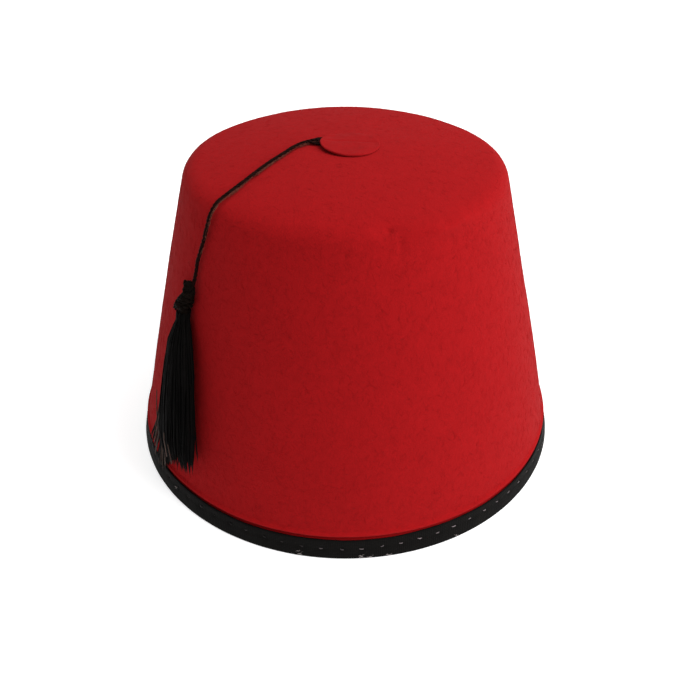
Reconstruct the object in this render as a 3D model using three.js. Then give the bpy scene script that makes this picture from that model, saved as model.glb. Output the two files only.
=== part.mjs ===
import * as THREE from "three";

// A brimless hat of stiff red felt: a tapering hollow crown with a gently domed top,
// a black tape folded over its rim, a small felt disc near the middle of the top, and
// a cord that leaves the disc, crosses the top and carries a tassel down the side.
// Millimetres, +Z up, the origin at the middle of the rim's underside, -Y the front.

// The felt crown.
const FELT = 2.5; // thickness of the wall and of the top
const WALL_RADIUS = 94.3; // outer face of the wall, carried straight down to the table
const WALL_TAPER = 0.2526; // how much that radius shrinks for each millimetre of height
const WALL_BULGE = 0.7; // how far the wall swells out at half its height
const WALL_HEIGHT = 120; // where the rounding into the top starts
const EDGE_HEIGHT = 124.2; // where wall and top would meet if the edge were sharp
const TOP_START_RADIUS = 57; // where the rounding ends and the top starts
const APEX_HEIGHT = 131.2; // middle of the top
const DOME_RADIUS = 280; // curvature of the top

// The tape folded over the rim.
const TAPE = 0.7; // thickness, the two layers of its hem together
const TAPE_HEIGHT = 8.6; // height of each leg above the table
const TAPE_ROUNDING = 0.5; // at its folds and its upper edges
const PINCH = 0.3; // how far the tape presses into each face of the felt
const PINCH_FADE = 1.6; // height over which the felt swells out again above the tape

// The felt disc on the top.
const DISC_RADIUS = 11.6;
const DISC_THICKNESS = 1.5;
const DISC_ROUNDING = 0.4;
const DISC_X = 1.7;
const DISC_Y = -2.6;

// The cord and the tassel.
const CORD_RADIUS = 0.75;
const CORD_SIDES = 8;
const CORD_STEPS = 36;
const TASSEL_AZIMUTH = -141.4; // degrees from +X round to -Y
const TASSEL_HEIGHT = 96.4; // top of the knot
const TASSEL_LEAN = 5.4; // degrees away from the wall's steepest way down
const TASSEL_STANDOFF = 0.6; // clearance between the wall and the back of the tassel
const SECTION_SIDES = 24;

const GAP = 0.3; // clearance between neighbours that touch
const SEGMENTS = 72; // facets round the hat

// Rows up the outline and over the top.
const WALL_ROWS = 8;
const EDGE_ROWS = 5;
const TOP_ROWS = 6;

// What handling has done to the felt. A row sinks it by depth, or swells it where depth is
// negative, round a point given by its azimuth in degrees and its run, the distance from
// the rim up the outline. It fades over across, round the hat, and along, up the outline.
const DENTS = [
  { azimuth: -76, run: 126, depth: 1.3, across: 5, along: 4 }, // nick in the top's front edge
  { azimuth: -60, run: 125, depth: -0.7, across: 15, along: 4 }, // lump to the right of it
  { azimuth: -112, run: 118, depth: 0.6, across: 18, along: 9 }, // soft hollow under the edge
  { azimuth: -96, run: 62, depth: 0.7, across: 30, along: 26 }, // shallow hollow in the front
  { azimuth: 20, run: 75, depth: 0.8, across: 34, along: 24 }, // one on the right, to the back
  { azimuth: 128, run: 90, depth: 0.7, across: 28, along: 30 }, // and one at the back
  { azimuth: 48, run: 160, depth: 0.6, across: 16, along: 14 }, // sag in the top
];

// The cord's middle line, from the disc's edge over the top and down to the knot.
const CORD_ROUTE = [
  { x: -10.3, y: -0.5, z: 132.3 },
  { x: -13.2, y: -0.9, z: 132.2 },
  { x: -16.3, y: -2.4, z: 132.0 },
  { x: -19.4, y: -5.6, z: 131.8 },
  { x: -22.5, y: -10.0, z: 131.4 },
  { x: -26.0, y: -15.0, z: 130.9 },
  { x: -29.8, y: -20.4, z: 130.2 },
  { x: -33.8, y: -26.4, z: 129.2 },
  { x: -37.4, y: -31.8, z: 128.2 },
  { x: -40.8, y: -36.4, z: 127.2 },
  { x: -44.0, y: -40.4, z: 126.0 },
  { x: -45.9, y: -42.6, z: 124.5 },
  { x: -47.5, y: -43.9, z: 121.8 },
  { x: -48.8, y: -44.4, z: 118.0 },
  { x: -50.2, y: -44.8, z: 113.5 },
  { x: -52.0, y: -44.9, z: 108.5 },
  { x: -53.6, y: -45.0, z: 104.0 },
  { x: -54.5, y: -45.4, z: 100.2 },
  { x: -55.1, y: -45.7, z: 97.7 },
];

// The tassel's outer form, each row a section at a distance down from the top of its piece
// and shifted sideways, for the tassel hangs in a shallow bow.
const KNOT_FORM = [
  { down: 0, width: 3.6, depth: 3.4, shift: 0 },
  { down: 2, width: 5, depth: 4.8, shift: 0.3 },
  { down: 5.5, width: 5.6, depth: 5, shift: 0 },
  { down: 9, width: 7, depth: 6, shift: -1 },
  { down: 11.2, width: 8.8, depth: 6.2, shift: -1.7 },
  { down: 12.2, width: 6, depth: 4.8, shift: -2.2 },
];
const COLLAR_FORM = [
  { down: 0, width: 4.8, depth: 4.4, shift: -2.3 },
  { down: 0.6, width: 5.3, depth: 4.8, shift: -2.4 },
  { down: 2.8, width: 5.3, depth: 4.8, shift: -2.3 },
  { down: 3.4, width: 4.8, depth: 4.4, shift: -2.2 },
];
const SKIRT_FORM = [
  { down: 0, width: 5, depth: 4.6, shift: -2.1 },
  { down: 3, width: 7.6, depth: 6.2, shift: -1.7 },
  { down: 9, width: 12.8, depth: 8.2, shift: -1 },
  { down: 20, width: 17.2, depth: 9.6, shift: 0.1 },
  { down: 36, width: 21.4, depth: 10.2, shift: 1.1 },
  { down: 50, width: 23.2, depth: 9.2, shift: 1 },
  { down: 59, width: 22.8, depth: 7.2, shift: 0.9 },
];
const COLLAR_TOP = KNOT_FORM.at(-1).down + GAP;
const SKIRT_TOP = COLLAR_TOP + COLLAR_FORM.at(-1).down + GAP;

function material(color, roughness) {
  return new THREE.MeshStandardMaterial({ color, roughness, metalness: 0 });
}
const redFelt = material(0xaa1c22, 0.95);
const blackTape = material(0x18130f, 0.8);
const blackCord = material(0x120e0d, 0.7);
const blackFringe = material(0x0e0c0c, 0.65);

function wallRadius(height) {
  const part = height / WALL_HEIGHT;
  return WALL_RADIUS - WALL_TAPER * height + 4 * WALL_BULGE * part * (1 - part);
}

function topHeight(radius) {
  return APEX_HEIGHT - (radius * radius) / (2 * DOME_RADIUS);
}

// Stations up the outer face, from the rim to the apex. Each is a point of the outline
// with the direction out of the felt there, its run from the rim, and how far it is pinched.
function crownStations() {
  const points = [new THREE.Vector2(wallRadius(TAPE + GAP), TAPE + GAP)];
  const pinches = [PINCH];
  const tapeTop = TAPE_HEIGHT + GAP;
  points.push(new THREE.Vector2(wallRadius(tapeTop), tapeTop));
  pinches.push(PINCH);
  const wallStart = tapeTop + PINCH_FADE;
  for (let row = 0; row <= WALL_ROWS; row++) {
    const height = wallStart + ((WALL_HEIGHT - wallStart) * row) / WALL_ROWS;
    points.push(new THREE.Vector2(wallRadius(height), height));
  }
  const edge = new THREE.QuadraticBezierCurve(
    points.at(-1),
    new THREE.Vector2(wallRadius(EDGE_HEIGHT), EDGE_HEIGHT),
    new THREE.Vector2(TOP_START_RADIUS, topHeight(TOP_START_RADIUS)),
  );
  points.push(...edge.getPoints(EDGE_ROWS).slice(1));
  for (let row = 1; row <= TOP_ROWS; row++) {
    const radius = TOP_START_RADIUS * (1 - row / TOP_ROWS);
    points.push(new THREE.Vector2(radius, topHeight(radius)));
  }
  let run = 0;
  return points.map((point, index) => {
    const before = points[Math.max(index - 1, 0)];
    const after = points[Math.min(index + 1, points.length - 1)];
    const outward = new THREE.Vector2(after.y - before.y, before.x - after.x).normalize();
    if (index === 0) outward.set(1, 0); // the rim is cut level
    if (point.x === 0) outward.set(0, 1);
    run += point.distanceTo(before);
    return { point, outward, run, pinch: pinches[index] ?? 0 };
  });
}

// How far the felt stands in from its plain form at an angle round the hat and a run.
function dentDepth(angle, station) {
  let depth = 0;
  for (const dent of DENTS) {
    const turn = angle - THREE.MathUtils.degToRad(dent.azimuth);
    const sideways = Math.atan2(Math.sin(turn), Math.cos(turn)) * station.point.x;
    const upward = station.run - dent.run;
    depth += dent.depth * Math.exp(-((sideways / dent.across) ** 2) - (upward / dent.along) ** 2);
  }
  return depth;
}

// A closed body from a profile that starts and ends on the axis. Each profile entry is a
// function of the angle that gives a radius and a height, and the ends are single points.
function revolve(profile) {
  const positions = [];
  const indices = [];
  const last = profile.length - 1;
  const addPoint = (entry, angle) => {
    const [radius, height] = entry(angle);
    positions.push(radius * Math.cos(angle), radius * Math.sin(angle), height);
  };
  addPoint(profile[0], 0);
  for (const entry of profile.slice(1, last)) {
    for (let step = 0; step < SEGMENTS; step++) addPoint(entry, (2 * Math.PI * step) / SEGMENTS);
  }
  addPoint(profile[last], 0);
  const corner = (row, step) => {
    if (row === 0) return 0;
    if (row === last) return positions.length / 3 - 1;
    return 1 + (row - 1) * SEGMENTS + (step % SEGMENTS);
  };
  for (let row = 0; row < last; row++) {
    for (let step = 0; step < SEGMENTS; step++) {
      const [a, b] = [corner(row, step), corner(row, step + 1)];
      const [c, d] = [corner(row + 1, step + 1), corner(row + 1, step)];
      if (a !== b) indices.push(a, b, c);
      if (c !== d) indices.push(a, c, d);
    }
  }
  return closedGeometry(positions, indices);
}

function closedGeometry(positions, indices) {
  const geometry = new THREE.BufferGeometry();
  geometry.setAttribute("position", new THREE.Float32BufferAttribute(positions, 3));
  geometry.setIndex(indices);
  geometry.computeVertexNormals();
  return geometry;
}

// The hollow felt crown: down its inner face from the apex, round the rim and up outside.
function crown() {
  const stations = crownStations();
  const face = (station, inset) => (angle) => {
    const isApex = station.point.x === 0;
    const depth = isApex ? 0 : dentDepth(angle, station);
    const sunk = station.outward.clone().multiplyScalar(inset + depth);
    return [station.point.x - sunk.x, station.point.y - sunk.y];
  };
  const inner = stations.map((station) => face(station, FELT - station.pinch)).reverse();
  const outer = stations.map((station) => face(station, station.pinch));
  return new THREE.Mesh(revolve([...inner, ...outer]), redFelt);
}

// The tape's section is a U that follows the wall's slope and stands on the table.
function rimBinding() {
  const outside = TAPE;
  const outsideBack = PINCH - GAP;
  const inside = -FELT / Math.cos(Math.atan(WALL_TAPER)) + PINCH - GAP;
  const insideFace = inside - TAPE;
  const at = (offset, height) => new THREE.Vector2(wallRadius(height) + offset, height);
  const half = TAPE_ROUNDING / 2;
  const section = [
    at(insideFace, TAPE_ROUNDING),
    at(insideFace + TAPE_ROUNDING, 0),
    at(outside - TAPE_ROUNDING, 0),
    at(outside, TAPE_ROUNDING),
    at(outside, TAPE_HEIGHT - half),
    at(outside - half, TAPE_HEIGHT),
    at(outsideBack, TAPE_HEIGHT),
    at(outsideBack, TAPE),
    at(inside, TAPE),
    at(inside, TAPE_HEIGHT),
    at(insideFace + half, TAPE_HEIGHT),
    at(insideFace, TAPE_HEIGHT - half),
  ];
  const ring = new THREE.LatheGeometry([...section, section[0]], SEGMENTS);
  return new THREE.Mesh(ring.rotateX(Math.PI / 2), blackTape);
}

// The disc is a patch of the dome, so it is turned about the centre of the top's curve.
function topDisc() {
  const under = DOME_RADIUS + GAP;
  const over = under + DISC_THICKNESS;
  const at = (distance, across) => {
    return new THREE.Vector2(across, Math.sqrt(distance * distance - across * across));
  };
  const full = DISC_RADIUS;
  const trimmed = DISC_RADIUS - DISC_ROUNDING;
  const profile = [
    at(under, 0),
    at(under, full / 2),
    at(under, trimmed),
    at(under + DISC_ROUNDING, full),
    at(over - DISC_ROUNDING, full),
    at(over, trimmed),
    at(over, full / 2),
    at(over, 0),
  ];
  const patch = new THREE.LatheGeometry(profile, SEGMENTS / 2).rotateX(Math.PI / 2);
  const mesh = new THREE.Mesh(patch, redFelt);
  mesh.position.z = APEX_HEIGHT - DOME_RADIUS;
  mesh.rotation.set(Math.asin(-DISC_Y / DOME_RADIUS), Math.asin(DISC_X / DOME_RADIUS), 0);
  return mesh;
}

function tasselCord() {
  const section = new THREE.Shape();
  for (let side = 0; side < CORD_SIDES; side++) {
    const turn = (2 * Math.PI * side) / CORD_SIDES;
    const corner = [CORD_RADIUS * Math.cos(turn), CORD_RADIUS * Math.sin(turn)];
    if (side === 0) section.moveTo(...corner);
    else section.lineTo(...corner);
  }
  const route = CORD_ROUTE.map(({ x, y, z }) => new THREE.Vector3(x, y, z));
  const extrudePath = new THREE.CatmullRomCurve3(route);
  const settings = { steps: CORD_STEPS, extrudePath, bevelEnabled: false };
  return new THREE.Mesh(new THREE.ExtrudeGeometry(section, settings), blackCord);
}

// A loft down the wall through oval sections whose backs line up beside the felt.
function hangingForm(form, top, finish) {
  const positions = [];
  const indices = [];
  for (const { down, width, depth, shift } of form) {
    for (let side = 0; side < SECTION_SIDES; side++) {
      const turn = (2 * Math.PI * side) / SECTION_SIDES;
      const outward = TASSEL_STANDOFF + (depth / 2) * (1 + Math.cos(turn));
      positions.push(outward, shift + (width / 2) * Math.sin(turn), -down);
    }
  }
  const rings = form.length;
  for (const [ring, height] of [[0, 0], [rings - 1, -form.at(-1).down]]) {
    positions.push(TASSEL_STANDOFF + form[ring].depth / 2, form[ring].shift, height);
  }
  const [lid, base] = [rings * SECTION_SIDES, rings * SECTION_SIDES + 1];
  for (let side = 0; side < SECTION_SIDES; side++) {
    const next = (side + 1) % SECTION_SIDES;
    const foot = (rings - 1) * SECTION_SIDES;
    indices.push(lid, side, next);
    indices.push(base, foot + next, foot + side);
    for (let ring = 0; ring < rings - 1; ring++) {
      const upper = ring * SECTION_SIDES;
      const lower = upper + SECTION_SIDES;
      indices.push(upper + side, lower + side, lower + next);
      indices.push(upper + side, lower + next, upper + next);
    }
  }
  const mesh = new THREE.Mesh(closedGeometry(positions, indices), finish);
  mesh.position.z = -top;
  return mesh;
}

// The tassel hangs in a frame on the wall: X out of the felt, Z up the slope.
function tassel(pieces) {
  const onWall = new THREE.Group();
  onWall.position.set(wallRadius(TASSEL_HEIGHT), 0, TASSEL_HEIGHT);
  onWall.rotation.set(THREE.MathUtils.degToRad(TASSEL_LEAN), -Math.atan(WALL_TAPER), 0, "YXZ");
  onWall.add(...pieces);
  const aroundHat = new THREE.Group();
  aroundHat.rotation.z = THREE.MathUtils.degToRad(TASSEL_AZIMUTH);
  aroundHat.add(onWall);
  return aroundHat;
}

function named(name, mesh) {
  mesh.name = name;
  return mesh;
}

const hat = new THREE.Group();
hat.add(
  named("crown", crown()),
  named("rim_binding", rimBinding()),
  named("top_disc", topDisc()),
  named("tassel_cord", tasselCord()),
  tassel([
    named("tassel_knot", hangingForm(KNOT_FORM, 0, blackCord)),
    named("tassel_collar", hangingForm(COLLAR_FORM, COLLAR_TOP, blackCord)),
    named("tassel_skirt", hangingForm(SKIRT_FORM, SKIRT_TOP, blackFringe)),
  ]),
);

export default hat;
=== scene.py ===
"""Looks of a red felt fez: felt with its nap, a stitched tape round the rim, a felt disc, a
twisted cord and a tassel of loose strands. Metres, +Z up, -Y the front, as the CAD has it."""

import math

import bpy
import numpy as np
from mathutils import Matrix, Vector, noise


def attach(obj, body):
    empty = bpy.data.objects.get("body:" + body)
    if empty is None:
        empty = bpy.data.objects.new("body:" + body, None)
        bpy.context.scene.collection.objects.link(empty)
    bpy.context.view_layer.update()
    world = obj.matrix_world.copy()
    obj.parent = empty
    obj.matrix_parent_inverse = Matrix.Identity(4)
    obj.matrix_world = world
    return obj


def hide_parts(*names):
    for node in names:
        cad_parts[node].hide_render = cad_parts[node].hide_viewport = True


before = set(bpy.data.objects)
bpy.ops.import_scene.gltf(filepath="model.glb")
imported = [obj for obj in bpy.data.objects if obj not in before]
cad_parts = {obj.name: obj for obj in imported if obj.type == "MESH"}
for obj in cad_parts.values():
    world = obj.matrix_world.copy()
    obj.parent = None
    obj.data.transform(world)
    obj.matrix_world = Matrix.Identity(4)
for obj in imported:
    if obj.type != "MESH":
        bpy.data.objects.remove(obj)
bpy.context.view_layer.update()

BODY = "root"

# The view: the camera looks at a point on the hat's axis.
VIEW_DISTANCE = 0.3644
VIEW_ELEVATION = math.radians(35.9)
VIEW_HEIGHT = 0.03175
VIEW_LENS = 40.55
VIEW_SHIFT = 0.0063

# The felt crown, as in the part's source.
FELT = 0.0025
WALL_RADIUS = 0.0943
WALL_TAPER = 0.2526
WALL_BULGE = 0.0007
WALL_HEIGHT = 0.12
EDGE_HEIGHT = 0.1242
TOP_START_RADIUS = 0.057
APEX_HEIGHT = 0.1312
DOME_RADIUS = 0.28

# The tape folded over the rim.
TAPE = 0.0007
TAPE_HEIGHT = 0.0086
FOLD = 0.0009  # radius of its folds
PINCH = 0.0003  # how deep it presses the felt in
PINCH_FADE = 0.0016
GAP = 0.0003  # between it and the felt

# How the felt swells out over the tape's edge.
SWELL = 0.00085
SWELL_RISE = 0.0016
SWELL_SPREAD = 0.0009
GROOVE = 0.0008  # how deep the seam draws the felt in at the tape's edge
GROOVE_SPREAD = 0.0004

# The tape's seam, and the lap of its two ends.
STITCHES = 76
STITCH_PHASE = 0.0232
STITCH_JITTER = 0.002
STITCH_HEIGHT = 0.0057
STITCH_LENGTH = 0.0015
STITCH_THREAD = 0.00019
SEAM_DIP = 0.0012  # how much lower the seam runs at the front
SEAM_DIP_ANGLE = -1.62  # radians, as is its spread
SEAM_DIP_SPREAD = 0.3
PUCKER = 0.0003
STITCH_LIT_ANGLE = math.radians(-62)  # the lit side, where the stitches' painted light is strongest
LAP_ANGLE = math.radians(104)
LAP_LENGTH = 0.013
LAP_RISE = 0.00045

# Lint caught on the tape: azimuth in degrees, height, and how many hairs.
LINT = [
    (-101.1, 0.0016, 5), (-86.4, 0.0012, 6), (-84.2, 0.0009, 4), (-79.8, 0.0012, 4),
    (-139.0, 0.005, 4), (-62.0, 0.0015, 4), (-20.0, 0.003, 3), (60.0, 0.004, 4),
]

# Rows of the meshes, and facets round them. The crown's rows lie close about the tape's edge.
CROWN_SEGMENTS = 480
TAPE_SEGMENTS = 912
DISC_SEGMENTS = 200
NEAR_TAPE_ROWS = 17
WALL_ROWS = 78
EDGE_ROWS = 18
TOP_ROWS = 36
INNER_STEP = 6  # the inner face keeps one row in this many

# Where handling has sunk the felt: azimuth in degrees, run up the outline, depth, and how
# far the dent fades out round the hat and along the outline.
DENTS = [
    (-76, 0.1272, 0.0009, 0.005, 0.004), (-60, 0.125, -0.0007, 0.015, 0.004),
    (-112, 0.118, 0.0006, 0.018, 0.009), (-96, 0.062, 0.0007, 0.03, 0.026),
    (20, 0.075, 0.0008, 0.034, 0.024), (128, 0.09, 0.0007, 0.028, 0.03),
    (48, 0.16, 0.0006, 0.016, 0.014), (103, 0.129, -0.0005, 0.034, 0.012),
    (158, 0.126, -0.0005, 0.026, 0.008), (-106, 0.1262, 0.0013, 0.046, 0.007),
    (-75.7, 0.1282, 0.0008, 0.0011, 0.001), (-73.4, 0.1225, 0.0004, 0.0012, 0.003),
    (-74.4, 0.1245, -0.0003, 0.0011, 0.003), (-62, 0.1246, -0.0004, 0.0055, 0.0022),
    (-52, 0.125, -0.0004, 0.006, 0.002), (-56.5, 0.1262, 0.0003, 0.002, 0.0016),
]

# Unevenness of the felt: size of the lumps, and how high they stand.
LUMPS = [(0.04, 0.00022), (0.013, 0.00009), (0.005, 0.000045), (0.0022, 0.000016)]
DISC_LUMPS = [(0.0021, 0.00005), (0.006, 0.00008)]

# The felt's nap: loose fibres in three shades.
NAP_COUNT = 30000
NAP_LENGTH = 0.0042
NAP_RADII = 0.00003, 0.000045
NAP_LIFT = 0.00003
NAP_THINS_AT = 0.127  # run past which the top begins, where fewer fibres stand loose
NAP_THINNED = 0.45
NAP_SHADES = {
    "light": (0.28, 0.0062, 0.0078, 1),
    "middle": (0.263, 0.0046, 0.0058, 1),
    "dark": (0.259, 0.0044, 0.0055, 1),
}

# The disc on the top.
DISC_RADIUS = 0.0116
DISC_THICKNESS = 0.0011
DISC_CENTRE = (0.0017, -0.0026)
DISC_LIFT = 0.0006  # how far its edge stands up over the cord's end
DISC_LIFT_ANGLE = math.radians(196)

# The cord, from the disc to the knot, as in the part's source.
CORD_DIAMETER = 0.0015
CORD_ROUTE = [
    (-0.0103, -0.0005, 0.1323), (-0.0132, -0.0009, 0.1322), (-0.0163, -0.0024, 0.1320),
    (-0.0194, -0.0056, 0.1318), (-0.0225, -0.0100, 0.1314), (-0.0260, -0.0150, 0.1309),
    (-0.0298, -0.0204, 0.1302), (-0.0338, -0.0264, 0.1292), (-0.0374, -0.0318, 0.1282),
    (-0.0408, -0.0364, 0.1272), (-0.0440, -0.0404, 0.1260), (-0.0459, -0.0426, 0.1245),
    (-0.0475, -0.0439, 0.1218), (-0.0488, -0.0444, 0.1180), (-0.0502, -0.0448, 0.1135),
    (-0.0520, -0.0449, 0.1085), (-0.0536, -0.0450, 0.1040), (-0.0545, -0.0454, 0.1002),
    (-0.0551, -0.0457, 0.0977),
]
CORD_TWIST = 0.0046  # length of one turn of its plies
CORD_PLIES = 3
LINE_STEP = 0.00035  # between the points of its line

# The cord's fuzz, and the threads of its frayed end under the disc.
FUZZ_COUNT = 1100
FUZZ_REACH = 0.0004, 0.0012
FUZZ_SIDE = (1.1, -1.5, -0.9)  # where most of the hairs lean
FUZZ_FROM_CORD = 0.43  # of the cord's diameter
FAN_THREADS = 44
FAN_START, FAN_END = -0.015, -0.0066

# The tassel's frame on the wall, and the pieces' places down from the top of the knot.
TASSEL_AZIMUTH = math.radians(-141.4)
TASSEL_HEIGHT = 0.0964
TASSEL_LEAN = math.radians(5.4)
STANDOFF = 0.0006  # of its inner side from the wall
MIDDLE = STANDOFF + 0.0028
COLLAR_TOP = 0.0125
COLLAR_LENGTH = 0.0034
COLLAR_WIDTH = 0.0053
COLLAR_DEPTH = 0.0048
COLLAR_THREAD = 0.00028
COLLAR_TURNS = 6
SKIRT_TOP = 0.0162
SKIRT_LENGTH = 0.059
STRANDS = 620
STRAND_STEPS = 16
STRAND_RADII = 0.00019, 0.00031
STRAND_CLEARANCE = 0.0003
LOCKS = 46
COVERING = 34  # strands that hang down from the knot over the collar

# The cord's way on inside the tassel: out from its inner side, sideways, and down from the
# top of the knot.
CORD_INSIDE = [
    (0.0016, 0.0012, 0.0018), (0.0024, 0.0009, 0.006), (0.0024, 0.0003, 0.0095),
    (0.0024, 0, COLLAR_TOP), (0.0027, 0, SKIRT_TOP + 0.001), (0.0034, 0, SKIRT_TOP + 0.009),
    (0.0036, 0, SKIRT_TOP + 0.02),
]

# The skirt's form: down from its top, width and depth. It goes on past the skirt's end for
# the strays.
SKIRT_FORM = [
    (0.000, 0.005, 0.0046), (0.003, 0.0076, 0.0062), (0.009, 0.0128, 0.0082),
    (0.02, 0.0172, 0.0096), (0.036, 0.0214, 0.0102), (0.05, 0.0232, 0.0092),
    (0.059, 0.0228, 0.0072), (0.072, 0.022, 0.0052),
]

# The bow that the tassel hangs in: down from the top of the knot, and how far its middle
# stands sideways.
BOW = [
    (0, 0), (0.002, 0.0003), (0.0055, 0), (0.009, -0.001), (0.0117, -0.0019),
    (0.015, -0.0024), (0.0192, -0.0017), (0.0252, -0.001), (0.0362, 0.0001),
    (0.0522, 0.0011), (0.0662, 0.001), (0.0752, 0.0009),
]

# The knot: its cords' diameters, its turns (down, width, depth, and how far each tilts to its
# side), and the core that they are wound on (down and width).
TURN_DIAMETER = 0.002
CROSSING_DIAMETER = 0.0018
KNOT_TURNS = [
    (0.007, 0.0036, 0.0034, 0.0014), (0.0084, 0.0045, 0.004, 0.002),
    (0.0099, 0.0054, 0.0044, 0.0018), (0.0112, 0.0054, 0.0042, 0.001),
]
KNOT_CORE = [
    (0.0014, 0.0018), (0.003, 0.003), (0.0062, 0.0038), (0.0096, 0.005), (0.0118, 0.0034),
]

# Cords over and across the knot: two loops over its top, one that runs down over its side,
# a cut end that stands out at its top, and a turn across its foot. Out, sideways and up.
KNOT_CROSSINGS = [
    [(0.003, -0.0016, -0.009), (0.0034, -0.0018, -0.0056), (0.0032, -0.0015, -0.0026),
     (0.0028, -0.0004, -0.0015), (0.0024, 0.001, -0.0022), (0.002, 0.0014, -0.0052),
     (0.0022, 0.0012, -0.009)],
    [(0.004, 0.0002, -0.009), (0.0046, -0.0002, -0.0058), (0.0044, -0.0003, -0.0029),
     (0.0036, 0.0003, -0.0018), (0.003, 0.0014, -0.0028), (0.0032, 0.0018, -0.006),
     (0.0036, 0.0016, -0.0092)],
    [(0.0046, 0.0006, -0.005), (0.0055, -0.0007, -0.0074), (0.0058, -0.0018, -0.0098),
     (0.0054, -0.0027, -0.012), (0.005, -0.0033, -0.0137)],
    [(0.0036, -0.0014, -0.0032), (0.0034, -0.0022, -0.0021), (0.0031, -0.0027, -0.0013)],
    [(0.004, -0.0026, -0.0084), (0.006, -0.0012, -0.0096), (0.0063, 0.001, -0.0107),
     (0.0048, 0.0026, -0.0118)],
]

# Forms behind what is wound and hung: down, width and depth.
NECK = [
    (COLLAR_TOP - 0.0012, 0.0034, 0.003), (COLLAR_TOP, 0.0046, 0.004),
    (SKIRT_TOP, 0.0046, 0.004), (SKIRT_TOP + 0.0012, 0.0034, 0.003),
]
HEART = [
    (SKIRT_TOP + 0.001, 0.0036, 0.0032), (SKIRT_TOP + 0.009, 0.0078, 0.0058),
    (SKIRT_TOP + 0.03, 0.013, 0.0062), (SKIRT_TOP + 0.05, 0.015, 0.0048),
]

# Strands that stray: how far sideways they leave the skirt, where they end (down and
# sideways) and how many there are, the pale strays too. Pale strands down the skirt's front
# are painted highlight streaks: from, sideways and to.
STRAYS = [
    (-0.0104, 0.0655, -0.0275, 6), (-0.0106, 0.07, -0.024, 12), (-0.0104, 0.0725, -0.0205, 16),
    (-0.0098, 0.073, -0.017, 16), (-0.0086, 0.0705, -0.013, 10), (0.0012, 0.067, 0.0034, 1),
    (-0.002, 0.0655, -0.0026, 2), (0.0086, 0.056, 0.0124, 1),
]
PALE_STRAYS = [
    (-0.011, 0.066, -0.0262, 5), (-0.011, 0.0705, -0.0232, 7),
    (-0.0106, 0.0728, -0.0198, 9), (-0.0098, 0.073, -0.0165, 6),
]
HIGHLIGHT_STREAKS_AT_FRONT = [(0.046, -0.0012, 0.0585), (0.05, 0.0022, 0.06), (0.03, -0.0066, 0.042)]

# Looks. Yarns have a darkest and a lightest colour, roughness, and how stretched their hairs
# are along the height.
FELT_RED = (0.262, 0.0046, 0.0058, 1)
DISC_RED = (0.25, 0.0052, 0.0064, 1)
FELT_CONTRAST = 0.2
RED_SPECULAR = 0.04
RED_SHEEN = {"Sheen Weight": 0.025, "Sheen Roughness": 0.5, "Sheen Tint": (1.0, 0.4, 0.4, 1)}
TAPE_BLACK = (0.0021, 0.0017, 0.0014, 1)
TAPE_PITCH = {"X": 0.00042, "Y": 0.00036}  # of its warp and its weft
THREAD_GREYS = (0.006, 0.005, 0.005, 1), (0.17, 0.14, 0.145, 1)
FUZZ_BROWN = (0.13, 0.04, 0.026, 1)
LINT_GREY = (0.34, 0.3, 0.29, 1)
YARNS = {
    "cord_yarn": ((0.0011, 0.0006, 0.0004, 1), (0.0066, 0.0034, 0.002, 1), 0.65, 1.0),
    "fringe_yarn": ((0.0005, 0.0004, 0.0004, 1), (0.003, 0.0025, 0.0023, 1), 0.65, 0.08),
    "brown_yarn": ((0.0022, 0.0004, 0.0003, 1), (0.015, 0.0034, 0.0022, 1), 0.65, 1.0),
    # Pale yarn, for the pale strays and for the painted highlight streaks down the skirt's front.
    "pale_yarn": ((0.01, 0.006, 0.005, 1), (0.13, 0.088, 0.075, 1), 0.7, 0.08),
}

# Lamps: place, size and power.
LAMPS = {
    "key": ((1.53, -0.54, 1.35), 2.0, 57.0),
    "top": ((0.54, 0.36, 2.34), 2.2, 26.0),
    "fill": ((-1.98, -0.18, 1.08), 1.6, 0.8),
}
LAMP_AIM = (0, 0, 0.06)
ROOM_LIGHT = 0.41
FLOOR_GREY = (0.6, 0.6, 0.6, 1)
FLOOR_GLOW = 0.64
FLOOR_REACH = 12
FLOOR_DROP = 0.00005


# ------------ meshes


def add_object(name, data):
    thing = bpy.data.objects.new(name, data)
    bpy.context.scene.collection.objects.link(thing)
    return thing


def make_piece(name, form, material, uv=None, replaces=None):
    """A smooth mesh object riding on the hat. form is points, faces, and a shade per point
    or None."""
    points, faces, shades = form
    mesh = bpy.data.meshes.new(name)
    mesh.from_pydata(np.asarray(points).tolist(), [], faces)
    mesh.polygons.foreach_set("use_smooth", [True] * len(mesh.polygons))
    if uv is not None:
        mesh.uv_layers.new(name="surface").uv.foreach_set("vector", np.ravel(uv))
    if shades is not None:
        shade = mesh.attributes.new("shade", "FLOAT", "POINT")
        shade.data.foreach_set("value", np.asarray(shades, np.float32))
    mesh.materials.append(material)
    piece = add_object(name, mesh)
    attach(piece, BODY)
    if replaces:
        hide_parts(replaces)
    return piece


def shifted(faces, start):
    return [[corner + start for corner in face] for face in faces]


def join_parts(parts):
    """One form from several."""
    points, faces, shades = zip(*parts)
    starts = np.cumsum([0, *(len(part) for part in points)]).tolist()
    faces = [face for part, start in zip(faces, starts) for face in shifted(part, start)]
    return np.concatenate(points), faces, np.concatenate(shades)


def ring_faces(rings, sides):
    """Faces of a closed body whose points are a point, rings of points, and a point."""
    step = np.arange(sides)
    after = (step + 1) % sides
    foot = 1 + (rings - 1) * sides
    corners = [[step * 0, 1 + after, 1 + step]]
    for low in range(1, foot, sides):
        corners.append([low + step, low + after, low + sides + after, low + sides + step])
    corners.append([foot + step, foot + after, step * 0 + foot + sides])
    return [face for row in corners for face in np.stack(row, 1).tolist()]


def revolved(rows):
    """A closed body from rings of points, whose first and last rings are single points."""
    return np.concatenate(rows), ring_faces(len(rows) - 2, rows[1].shape[0]), None


def unit(vectors):
    return vectors / np.maximum(np.linalg.norm(vectors, axis=-1, keepdims=True), 1e-12)


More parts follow.
